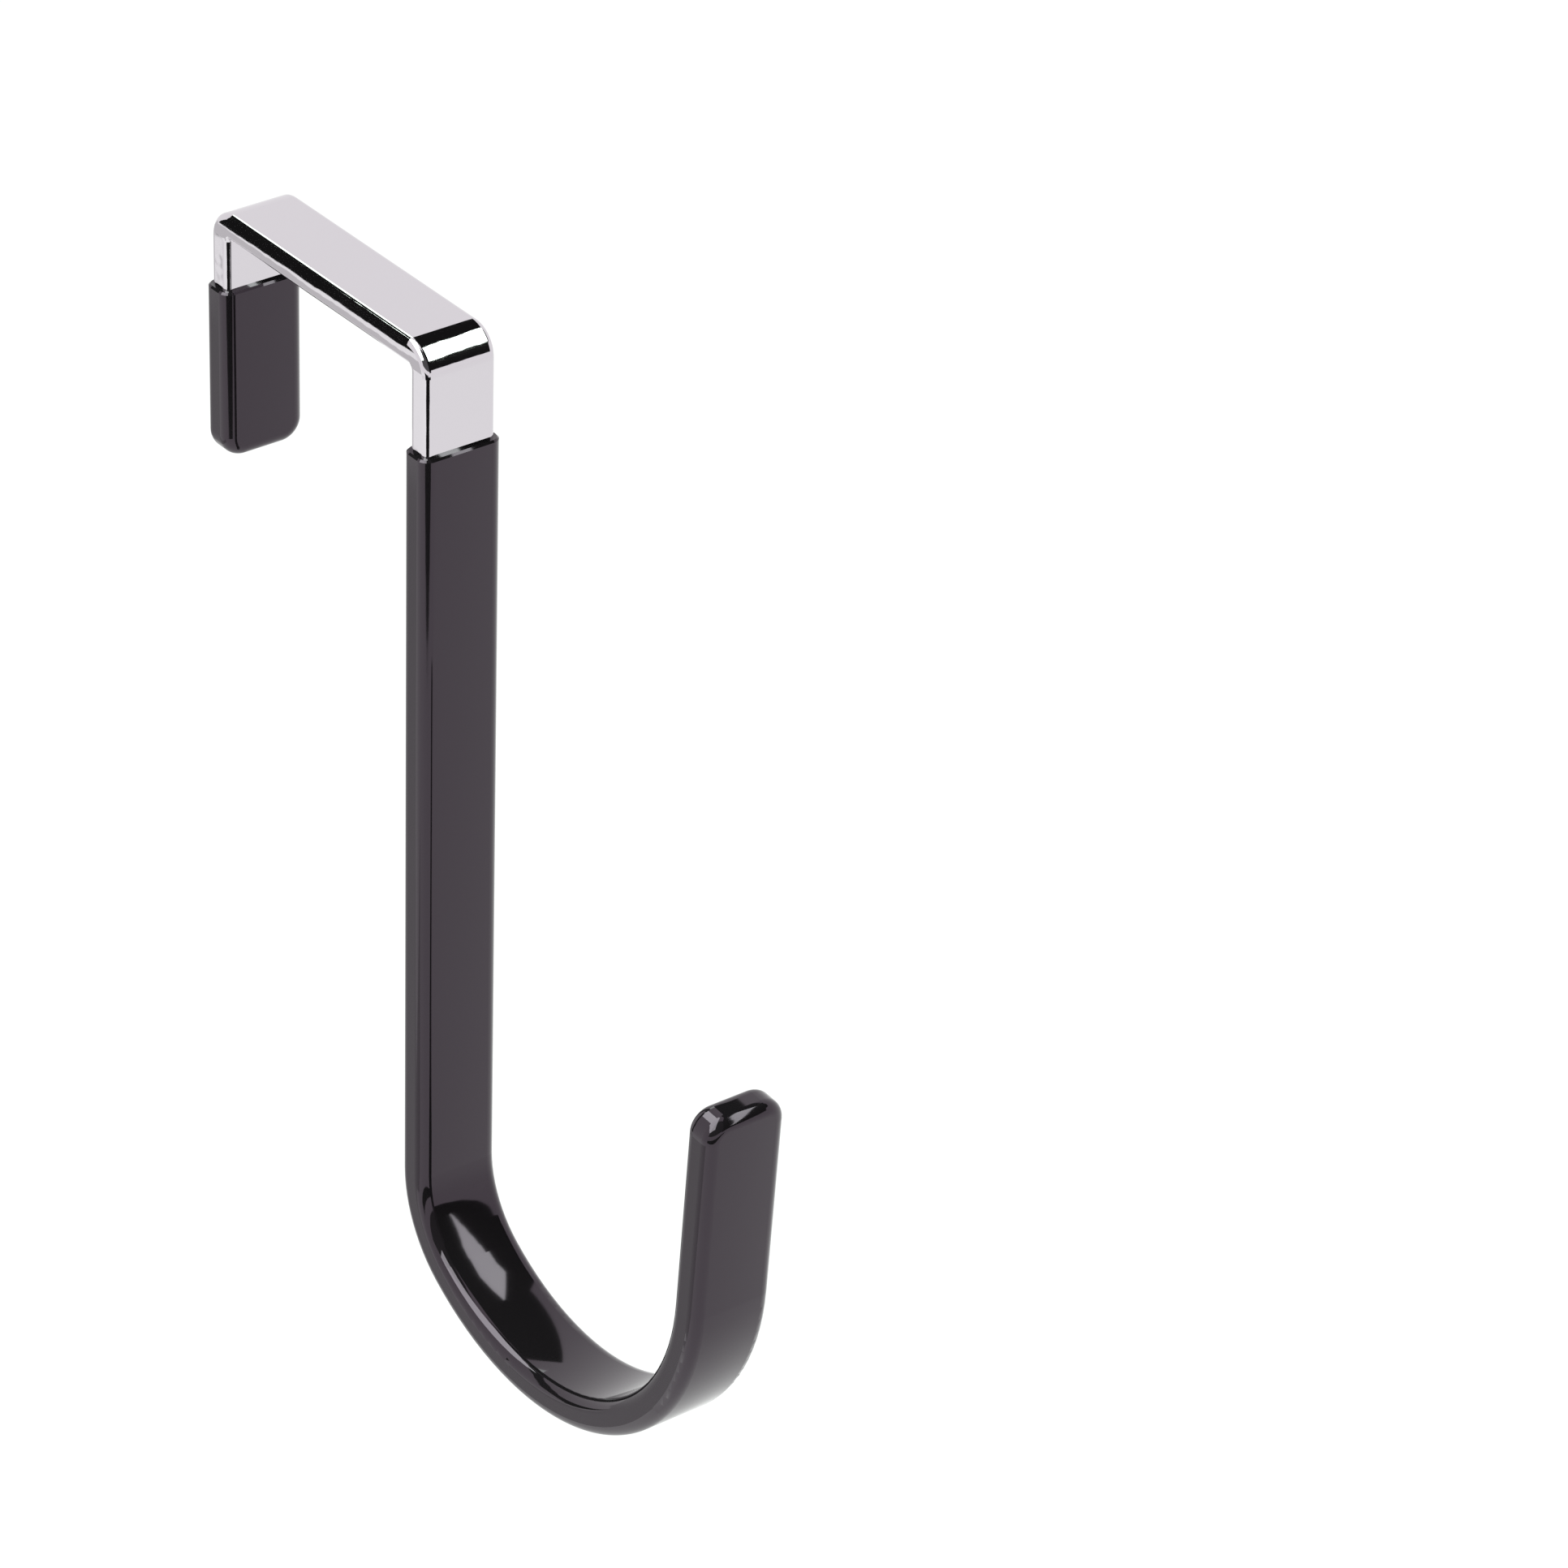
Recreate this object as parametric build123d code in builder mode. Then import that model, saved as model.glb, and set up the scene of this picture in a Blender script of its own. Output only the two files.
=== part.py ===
from build123d import *
import os

os.makedirs("parts", exist_ok=True)

# Over-the-door wreath hanger: a chromed flat steel strip that hangs on the top edge of a door,
# with a soft dipped coat over its hook and another over its back leg.
# X runs across the strip, the hook is toward -Y and the back leg toward +Y, +Z is up.
# The origin is the middle of the plate's underside, where the hanger sits on the door.
# Lengths are in millimetres and angles in degrees.

# Clear space between the back leg and the shank, before the coats take their share of it
leg_gap = 46.0

# Flat steel strip
strip_width = 12.0
strip_thickness = 4.0
strip_edge_radius = 1.0
bend_inside_radius = 0.6

# Straight lengths below the underside of the plate
back_leg_length = 35.0
shank_length = 134.0

# J hook, measured on the middle of the strip: a tight turn out of the shank, a wide sweep, a tip
hook_entry_radius = 17.5
hook_entry_angle = 55.0
hook_sweep_radius = 38.0
tip_lean_angle = 4.0
tip_length = 33.5

# Dipped coats, each with a thin bevelled rim at its top and closed round the end that it covers
coat_thickness = 0.8
coat_rim_chamfer = 0.3
coat_corner_radius = 3.6
hook_coat_start = 13.0
back_coat_start = 8.5

# Worked out from the sizes above
plate_level = strip_thickness / 2
bend_radius = bend_inside_radius + strip_thickness / 2
leg_offset = leg_gap / 2 + strip_thickness / 2
hook_sweep_angle = 180 - tip_lean_angle - hook_entry_angle
strip_corner_radius = coat_corner_radius - coat_thickness
corner_across = strip_width / 2 - strip_corner_radius
coat_edge_radius = strip_edge_radius + coat_thickness
coat_width = strip_width + 2 * coat_thickness
coated_thickness = strip_thickness + 2 * coat_thickness


def door_line():
    """Middle of the strip in side view, up the back leg, over the door and down the shank."""
    with BuildLine() as line:
        back_leg = Line((leg_offset, -back_leg_length), (leg_offset, plate_level - bend_radius))
        back_bend = JernArc(back_leg @ 1, back_leg % 1, bend_radius, 90)
        plate = Line(back_bend @ 1, (bend_radius - leg_offset, plate_level))
        front_bend = JernArc(plate @ 1, plate % 1, bend_radius, 90)
        Line(front_bend @ 1, (-leg_offset, -shank_length))
    return line.line


def hook_line(overrun):
    """Middle of the strip in side view, from the shank round the hook and past its tip by overrun."""
    with BuildLine() as line:
        entry = JernArc((-leg_offset, -shank_length), (0, -1), hook_entry_radius, -hook_entry_angle)
        sweep = JernArc(entry @ 1, entry % 1, hook_sweep_radius, -hook_sweep_angle)
        PolarLine(sweep @ 1, tip_length + overrun, direction=sweep % 1)
    return line.line


def hook_coat_line():
    """Middle of the strip in side view, from the hook coat's rim to its closed end."""
    with BuildLine() as line:
        Line((-leg_offset, -hook_coat_start), (-leg_offset, -shank_length))
        add(hook_line(coat_thickness))
    return line.line


def back_coat_line():
    """Middle of the strip in side view, from the back coat's rim to its closed end."""
    with BuildLine() as line:
        Line((leg_offset, -back_coat_start), (leg_offset, -back_leg_length - coat_thickness))
    return line.line


def add_bar(middle_line, width, thickness):
    """Flat bar along its middle line, with square edges and ends."""
    with BuildSketch(Plane.YZ) as side_view:
        trace(middle_line, line_width=thickness)
    extrude(side_view.sketch, amount=width / 2, both=True)


def shear_end(line_end, outward):
    """Cut the two corners of the strip's end round, straight through from flat side to flat side."""
    middle = Plane.YZ.from_local_coords(line_end)
    past_end = Plane.YZ.from_local_coords(outward)
    across = Vector(1, 0, 0)
    with BuildSketch(Plane(middle, x_dir=across, z_dir=across.cross(past_end))) as corners:
        Rectangle(strip_width, strip_corner_radius, align=(Align.CENTER, Align.MAX))
        Rectangle(2 * corner_across, strip_corner_radius, align=(Align.CENTER, Align.MAX), mode=Mode.SUBTRACT)
        with Locations((corner_across, -strip_corner_radius), (-corner_across, -strip_corner_radius)):
            Circle(strip_corner_radius, mode=Mode.SUBTRACT)
    extrude(corners.sketch, amount=strip_thickness, both=True, mode=Mode.SUBTRACT)


def end_face(part, line_end):
    """Flat end of a bar, found by where its middle line ends."""
    return part.faces().sort_by_distance(Plane.YZ.from_local_coords(line_end))[0]


def sharp_edges(part):
    """Edges where two faces meet at an angle, which leaves out where a flat runs on into a bend."""
    neighbours = {}
    for face in part.faces():
        for edge in face.edges():
            neighbours.setdefault(edge, []).append(face)
    return ShapeList(
        edge
        for edge, (first, second) in neighbours.items()
        if first.normal_at(edge @ 0.5).get_angle(second.normal_at(edge @ 0.5)) > 5
    )


# Chromed strip, one bent piece from the end of the back leg to the tip of the hook
# Its edges are rounded down to the hook and square round it, where the coat hides them
door_side = door_line()
hook_side = hook_line(0)
with BuildPart() as strip:
    add_bar(door_side, strip_width, strip_thickness)
    end_edges = end_face(strip.part, door_side @ 0).edges() + end_face(strip.part, door_side @ 1).edges()
    fillet(sharp_edges(strip.part) - end_edges, strip_edge_radius)
    add_bar(hook_side, strip_width, strip_thickness)
    shear_end(door_side @ 0, -(door_side % 0))
    shear_end(hook_side @ 1, hook_side % 1)
strip.part.label = "strip"
export_step(strip.part, "parts/strip.step")


def coat_shell(middle_line):
    """Coat round the strip along a middle line, open at its rim and closed past the strip's end."""
    with BuildPart() as shell:
        add_bar(middle_line, coat_width, coated_thickness)
        covered_end = end_face(shell.part, middle_line @ 1)
        fillet(covered_end.edges().filter_by(Axis.X, reverse=True), coat_corner_radius)
        rim_face = end_face(shell.part, middle_line @ 0)
        fillet(sharp_edges(shell.part) - rim_face.edges(), coat_edge_radius)
        rim_face = end_face(shell.part, middle_line @ 0)
        chamfer(rim_face.edges(), coat_rim_chamfer)
        add(strip.part, mode=Mode.SUBTRACT)
    return shell.part


# Coat over the shank and the hook
hook_shell = coat_shell(hook_coat_line())
with BuildPart() as hook_coat:
    add(hook_shell)
hook_coat.part.label = "hook_coat"
export_step(hook_coat.part, "parts/hook_coat.step")

# Coat over the lower part of the back leg
back_shell = coat_shell(back_coat_line())
with BuildPart() as back_coat:
    add(back_shell)
back_coat.part.label = "back_coat"
export_step(back_coat.part, "parts/back_coat.step")
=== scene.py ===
import math

import bpy
from mathutils import Matrix, Vector


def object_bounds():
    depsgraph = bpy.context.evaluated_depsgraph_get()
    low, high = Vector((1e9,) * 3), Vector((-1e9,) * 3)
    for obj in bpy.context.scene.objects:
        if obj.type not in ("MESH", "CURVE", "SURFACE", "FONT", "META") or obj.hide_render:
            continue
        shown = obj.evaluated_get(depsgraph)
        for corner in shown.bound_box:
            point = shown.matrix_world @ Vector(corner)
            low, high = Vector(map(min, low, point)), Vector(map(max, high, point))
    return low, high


# Over-the-door wreath hanger on a pale floor, seen from the front left and above.
# Lengths are in metres, in the part's frame: the hook is toward -Y, the back leg toward +Y, +Z is up,
# and the underside of the plate that lies on the door is at zero height.

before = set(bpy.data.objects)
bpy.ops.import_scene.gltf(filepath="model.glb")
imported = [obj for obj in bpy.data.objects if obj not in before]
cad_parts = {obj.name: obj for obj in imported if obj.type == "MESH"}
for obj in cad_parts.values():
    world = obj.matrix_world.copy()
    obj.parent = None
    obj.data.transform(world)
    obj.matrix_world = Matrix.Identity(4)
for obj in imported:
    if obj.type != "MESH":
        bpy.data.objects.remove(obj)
cad_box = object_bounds()

# Camera at the photograph's viewing angle, placed along its own axes from a base point
image_size = 1932
focal_length_px = 9005
sensor_width_mm = 36
view_azimuth = math.radians(-38.15)
view_elevation = math.radians(31.47)
view_roll = math.radians(1.95)
camera_distance = 1.0155
camera_right = 0.0471
camera_up = -0.0596
camera_base = Vector((0, -0.023, 0))

# Floor, a pale table well below the hook, because the hanger hangs from a door
# Its outline runs from the front left, in distances to the left of the hanger and behind it
# Where it is seen, its own white covers this share of the matt colour
white = (1, 1, 1, 1)
floor_drop = 0.45
floor_outline = ((1.15, -0.985), (-2.9, -0.985), (-2.9, 2.2), (1.15, 2.2))
floor_colour = (0.92, 0.92, 0.92, 1)
floor_glow_share = 0.8

# Chrome, whose smears raise its roughness, with faint waves
chrome_colour = (0.665, 0.63, 0.67, 1)
chrome_roughness = 0.015
smear_roughness = 0.05
smear_scale = 60
smear_detail = 3
wave_height = 0.00003
wave_scale = 180
wave_detail = 2

# Barrel of the strip's rolled edges along the plate, in metres for each square metre from the middle plane,
# and half the strip's thickness, which is also the height of that plane over the door
edge_crown = 20.0
half_thickness = 0.002

# Coat, whose haze raises its roughness, with slow ripples
coat_colour = (0.006, 0.0052, 0.006, 1)
coat_gloss_index = 1.56
coat_gloss_tint = (1.0, 0.8, 1.0, 1)
coat_roughness = 0.035
haze_roughness = 0.05
haze_scale = 40
haze_detail = 2
ripple_height = 0.000018
ripple_scale = 90
ripple_detail = 1

# Fall of the coats' crown, in metres for each square metre across from their middle line
coat_crown = 8.0

# Studio round the hanger: plain light from all sides, and dark screens that only its gloss sees
# Bearings run from 0 toward the room to 90 toward +X, heights from 0 at level to 90, in degrees
# The first two screens have a pair of bearings and a pair of heights
room_light = 0.9
light_centre = Vector((0, -0.03, -0.08))
screen_distance = 2.2
screen_radiance = 1.0
screen_colour = (0.01, 0.01, 0.01, 1)
left_screen_colour = (0.1, 0.1, 0.1, 1)
left_screen = ((-80, -2), (2, 78))
low_screen = ((-80, 12), (-45, -14))

# The others are ribbons, each between a lower and an upper edge of bearings and heights
room_screen = (
    (
        (-2, -3), (22, -3), (28, 0), (33, 6), (37, 14), (41, 24),
        (60, 29), (80, 41), (100, 54), (126, 46), (147, 31),
    ),
    (
        (-2, 70), (14, 72), (20, 74), (26, 75), (32, 76), (40, 77),
        (60, 78), (80, 78), (100, 77), (125, 73), (149, 64),
    ),
)
edge_screen = (
    (
        (167, 38), (180, 39.5), (195, 37), (206, 28), (213, 15),
        (217, 0), (213, -14), (207, -25), (206, -33),
    ),
    (
        (167, 50), (182, 51), (200, 47), (214, 36), (222, 18),
        (225.5, 0), (221.8, -12), (220, -25), (220, -33),
    ),
)

# Window, a ribbon in front of the screens, narrow and slanting, that the hook's inside shows
# Its colour is also that of the lamps
window = (
    (
        (24.1, 7.8), (28, 20.4), (33.9, 32.3), (43.2, 43.3), (56.3, 51.2),
        (67.3, 54.2), (77, 55.2), (87, 58.6), (97.6, 61),
    ),
    (
        (23.7, 7.9), (26.1, 20.4), (29.7, 32.4), (35.6, 44.2), (43, 51.7),
        (52.5, 57.2), (65, 61.5), (81.5, 62.8), (97.4, 61.4),
    ),
)
window_distance = 0.87
window_radiance = 5.8
window_colour = (0.85, 1.0, 0.88, 1)

# Ribbon of light behind the hanger, whose reflection draws the light line along the plate's upper edge
line_light = (
    ((151, 33), (155, 35), (160, 37.5), (166, 40)),
    ((151, 42), (155, 46), (160, 49), (166, 50)),
)
line_distance = 2.0
line_radiance = 3.0

# Grey card to the left of the hanger, just over the floor's level, which the side faces show: a painted
# reflection of shade on the floor there, seen only in gloss
floor_shade_outline = ((0.5, -0.5), (0.5, 1.3), (1.985, 1.3), (1.003, 0.288), (0.724, 0), (0.72, -0.5))
floor_shade_lift = 0.005
floor_shade_radiance = 0.69

# Long soft lamp, high at the left, with the direction of its length
lamp_bearing = -103
lamp_height = 54
lamp_distance = 1.5
lamp_direction = Vector((0.68, 0.70, 0.23))
lamp_length = 2.4
lamp_width = 1.1
lamp_radiance = 5.5


def add_camera():
    """Camera that looks along the photograph's line of sight, with its small roll."""
    back = Vector((
        math.sin(view_azimuth) * math.cos(view_elevation),
        -math.cos(view_azimuth) * math.cos(view_elevation),
        math.sin(view_elevation),
    ))
    level_right = Vector((math.cos(view_azimuth), math.sin(view_azimuth), 0))
    level_up = back.cross(level_right)
    right = level_right * math.cos(view_roll) + level_up * math.sin(view_roll)
    up = level_up * math.cos(view_roll) - level_right * math.sin(view_roll)
    place = camera_base + right * camera_right + up * camera_up + back * camera_distance
    camera = bpy.data.objects.new("camera", bpy.data.cameras.new("camera"))
    camera.data.sensor_width = sensor_width_mm
    camera.data.lens = focal_length_px / image_size * sensor_width_mm
    camera.matrix_world = Matrix.Translation(place) @ Matrix((right, up, back)).transposed().to_4x4()
    bpy.context.scene.collection.objects.link(camera)
    bpy.context.scene.camera = camera


def new_material(name):
    """Empty node material with its output, for the nodes that the caller adds."""
    material = bpy.data.materials.new(name)
    material.use_nodes = True
    material.node_tree.nodes.clear()
    output = material.node_tree.nodes.new("ShaderNodeOutputMaterial")
    return material, material.node_tree.nodes, material.node_tree.links, output


def add_noise(nodes, links, place, scale, detail):
    """Noise over the object's own coordinates, between zero and one."""
    noise = nodes.new("ShaderNodeTexNoise")
    noise.inputs["Scale"].default_value = scale
    noise.inputs["Detail"].default_value = detail
    links.new(place.outputs["Object"], noise.inputs["Vector"])
    return noise.outputs["Fac"]


def add_maths(nodes, links, operation, first, second):
    """One sum on a value and a constant or another value."""
    node = nodes.new("ShaderNodeMath")
    node.operation = operation
    links.new(first, node.inputs[0])
    if isinstance(second, (int, float)):
        node.inputs[1].default_value = second
    else:
        links.new(second, node.inputs[1])
    return node.outputs["Value"]


def add_axes(nodes, links, vector):
    """The separate X, Y and Z of a vector."""
    axes = nodes.new("ShaderNodeSeparateXYZ")
    links.new(vector, axes.inputs["Vector"])
    return axes.outputs


def add_roughness(nodes, links, shader, noise, least, rise):
    """Roughness of a finish, from its least value up to the whole rise where the noise is one."""
    roughness = add_maths(nodes, links, "MULTIPLY_ADD", noise, rise)
    roughness.node.inputs[2].default_value = least
    links.new(roughness, shader.inputs["Roughness"])


def add_relief(nodes, links, shader, height):
    """Relief on a finish, from a height in metres."""
    bump = nodes.new("ShaderNodeBump")
    bump.inputs["Strength"].default_value = 1.0
    bump.inputs["Distance"].default_value = 1.0
    links.new(height, bump.inputs["Height"])
    links.new(bump.outputs["Normal"], shader.inputs["Normal"])


def edge_fall(nodes, links, place):
    """Fall of the plate's rolled side edges away from the strip's middle plane, in metres."""
    height = add_axes(nodes, links, place.outputs["Object"])["Z"]
    offset = add_maths(nodes, links, "SUBTRACT", height, half_thickness)
    offset = add_maths(nodes, links, "MAXIMUM", offset, -half_thickness)
    offset = add_maths(nodes, links, "MINIMUM", offset, half_thickness)
    square = add_maths(nodes, links, "MULTIPLY", offset, offset)
    facing = add_axes(nodes, links, place.outputs["Normal"])["X"]
    sideways = add_maths(nodes, links, "MULTIPLY", facing, facing)
    fall = add_maths(nodes, links, "MULTIPLY", square, sideways)
    return add_maths(nodes, links, "MULTIPLY", fall, edge_crown)


def coat_fall(nodes, links, place):
    """Fall of a coat's surface away from its middle line, in metres."""
    across = add_axes(nodes, links, place.outputs["Object"])["X"]
    square = add_maths(nodes, links, "MULTIPLY", across, across)
    return add_maths(nodes, links, "MULTIPLY", square, coat_crown)


def chrome_material():
    """Bright chrome plate, with the faint waviness of plated strip and a few handling smears."""
    material, nodes, links, output = new_material("chrome_plate")
    shader = nodes.new("ShaderNodeBsdfPrincipled")
    shader.inputs["Base Color"].default_value = chrome_colour
    shader.inputs["Metallic"].default_value = 1.0
    place = nodes.new("ShaderNodeTexCoord")
    smears = add_noise(nodes, links, place, smear_scale, smear_detail)
    add_roughness(nodes, links, shader, smears, chrome_roughness, smear_roughness)
    waves = add_noise(nodes, links, place, wave_scale, wave_detail)
    waves = add_maths(nodes, links, "MULTIPLY", waves, wave_height)
    fall = edge_fall(nodes, links, place)
    add_relief(nodes, links, shader, add_maths(nodes, links, "SUBTRACT", waves, fall))
    links.new(shader.outputs["BSDF"], output.inputs["Surface"])
    return material


def coat_material():
    """Soft dipped coat: black, glossy, a little thicker along its middle, with slow ripples."""
    material, nodes, links, output = new_material("dipped_coat")
    shader = nodes.new("ShaderNodeBsdfPrincipled")
    shader.inputs["Base Color"].default_value = coat_colour
    shader.inputs["IOR"].default_value = coat_gloss_index
    shader.inputs["Specular Tint"].default_value = coat_gloss_tint
    place = nodes.new("ShaderNodeTexCoord")
    haze = add_noise(nodes, links, place, haze_scale, haze_detail)
    add_roughness(nodes, links, shader, haze, coat_roughness, haze_roughness)
    ripples = add_noise(nodes, links, place, ripple_scale, ripple_detail)
    ripples = add_maths(nodes, links, "MULTIPLY", ripples, ripple_height)
    fall = coat_fall(nodes, links, place)
    add_relief(nodes, links, shader, add_maths(nodes, links, "SUBTRACT", ripples, fall))
    links.new(shader.outputs["BSDF"], output.inputs["Surface"])
    return material


def seen_directly(nodes, links):
    """One where the camera, a reflection or a refraction sees the surface, zero for its light."""
    path = nodes.new("ShaderNodeLightPath")
    seen = add_maths(nodes, links, "MAXIMUM", path.outputs["Is Camera Ray"], path.outputs["Is Glossy Ray"])
    return add_maths(nodes, links, "MAXIMUM", seen, path.outputs["Is Transmission Ray"])


def add_mix(nodes, links, share, first, second, output):
    """Two shaders mixed into the output, with a share of the second."""
    mix = nodes.new("ShaderNodeMixShader")
    links.new(share, mix.inputs["Fac"])
    links.new(first, mix.inputs[1])
    links.new(second, mix.inputs[2])
    links.new(mix.outputs["Shader"], output.inputs["Surface"])


def add_shine(nodes, kind, colour, radiance):
    """Light of one colour, from a surface or from the world."""
    shine = nodes.new(kind)
    shine.inputs["Color"].default_value = colour
    shine.inputs["Strength"].default_value = radiance
    return shine.outputs[0]


def add_surface(name, points, faces, material):
    """Flat or curved surface of the floor or the studio."""
    mesh = bpy.data.meshes.new(name)
    mesh.from_pydata(points, [], faces)
    mesh.materials.append(material)
    surface = bpy.data.objects.new(name, mesh)
    bpy.context.scene.collection.objects.link(surface)
    return surface


def floor_point(left, back, lift):
    """Point at the floor's level or above it, from its distances to the left of the hanger and behind it."""
    away = Vector((-math.sin(view_azimuth), math.cos(view_azimuth), 0))
    side = Vector((math.cos(view_azimuth), math.sin(view_azimuth), 0))
    return away * back - side * left + Vector((0, 0, cad_box[0][2] - floor_drop + lift))


def add_floor():
    """Pale table that looks white and keeps the hanger's shadow, square to the line of sight."""
    material, nodes, links, output = new_material("pale_floor")
    matt = nodes.new("ShaderNodeBsdfDiffuse")
    matt.inputs["Color"].default_value = floor_colour
    glow = add_shine(nodes, "ShaderNodeEmission", white, 1.0)
    share = add_maths(nodes, links, "MULTIPLY", seen_directly(nodes, links), floor_glow_share)
    add_mix(nodes, links, share, matt.outputs["BSDF"], glow, output)
    points = [floor_point(left, back, 0) for left, back in floor_outline]
    floor = add_surface("floor", points, [tuple(range(len(points)))], material)


def add_world():
    """White where it is seen directly, and plain soft light on the object."""
    world = bpy.data.worlds.new("studio")
    world.use_nodes = True
    nodes = world.node_tree.nodes
    links = world.node_tree.links
    nodes.clear()
    output = nodes.new("ShaderNodeOutputWorld")
    light = add_shine(nodes, "ShaderNodeBackground", white, room_light)
    view = add_shine(nodes, "ShaderNodeBackground", white, 1.0)
    add_mix(nodes, links, seen_directly(nodes, links), light, view, output)
    bpy.context.scene.world = world


def toward(bearing, height):
    """Direction at a bearing, 0 toward the room and 90 toward +X, and a height above level, in degrees."""
    bearing = math.radians(bearing)
    height = math.radians(height)
    return Vector((
        math.sin(bearing) * math.cos(height),
        -math.cos(bearing) * math.cos(height),
        math.sin(height),
    ))


def add_reflection(name, points, faces, colour, radiance):
    """Surface of the studio that only gloss shows, dark or shining."""
    material, nodes, links, output = new_material(name)
    shine = add_shine(nodes, "ShaderNodeEmission", colour, radiance)
    links.new(shine, output.inputs["Surface"])
    surface = add_surface(name, points, faces, material)
    surface.visible_camera = False
    surface.visible_diffuse = False
    surface.visible_transmission = False
    surface.visible_volume_scatter = False
    surface.visible_shadow = False


def add_screen(name, extent, colour):
    """Dark screen, curved round the hanger, from one bearing and height to another."""
    bearings, heights = extent
    columns = 12
    rows = 8
    points = []
    for row in range(rows + 1):
        height = heights[0] + (heights[1] - heights[0]) * row / rows
        for column in range(columns + 1):
            bearing = bearings[0] + (bearings[1] - bearings[0]) * column / columns
            points.append(light_centre + toward(bearing, height) * screen_distance)
    faces = []
    for row in range(rows):
        for column in range(columns):
            first = row * (columns + 1) + column
            faces.append((first, first + 1, first + columns + 2, first + columns + 1))
    add_reflection(name, points, faces, colour, screen_radiance)


def add_ribbon(name, edges, distance, colour, radiance):
    """Slanting part of the studio that only gloss shows, between its lower and its upper edge."""
    lower, upper = edges
    points = [light_centre + toward(bearing, height) * distance for bearing, height in lower + upper]
    count = len(lower)
    faces = [(step, step + 1, count + step + 1, count + step) for step in range(count - 1)]
    add_reflection(name, points, faces, colour, radiance)


def add_floor_shade():
    """Grey card that lies level, to the left of the hanger: painted shade of the floor, seen only in gloss.
    """
    points = [floor_point(left, back, floor_shade_lift) for left, back in floor_shade_outline]
    add_reflection("painted_floor_shade", points, [tuple(range(len(points)))], white, floor_shade_radiance)


def add_lamp():
    """Rectangular soft lamp that faces the hanger."""
    facing = toward(lamp_bearing, lamp_height)
    along = (lamp_direction - facing * lamp_direction.dot(facing)).normalized()
    lamp = bpy.data.lights.new("left_strip", "AREA")
    lamp.shape = "RECTANGLE"
    lamp.color = window_colour[:3]
    lamp.size = lamp_length
    lamp.size_y = lamp_width
    lamp.energy = lamp_radiance * math.pi * lamp_length * lamp_width
    softbox = bpy.data.objects.new("left_strip", lamp)
    softbox.matrix_world = (
        Matrix.Translation(light_centre + facing * lamp_distance)
        @ Matrix((along, facing.cross(along), facing)).transposed().to_4x4()
    )
    softbox.visible_camera = False
    bpy.context.scene.collection.objects.link(softbox)


def dress_nodes():
    """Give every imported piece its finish."""
    chrome = chrome_material()
    coat = coat_material()
    finishes = {"strip": chrome, "hook_coat": coat, "back_coat": coat}
    for name, finish in finishes.items():
        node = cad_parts[name]
        for slot in node.material_slots:
            slot.material = finish


add_camera()
add_floor()
add_world()
add_screen("left_screen", left_screen, left_screen_colour)
add_screen("low_screen", low_screen, screen_colour)
add_ribbon("room_screen", room_screen, screen_distance, screen_colour, screen_radiance)
add_ribbon("edge_screen", edge_screen, screen_distance, screen_colour, screen_radiance)
add_ribbon("window", window, window_distance, window_colour, window_radiance)
add_ribbon("line_light", line_light, line_distance, window_colour, line_radiance)
add_floor_shade()
add_lamp()
dress_nodes()

bpy.context.scene.view_settings.view_transform = "Standard"
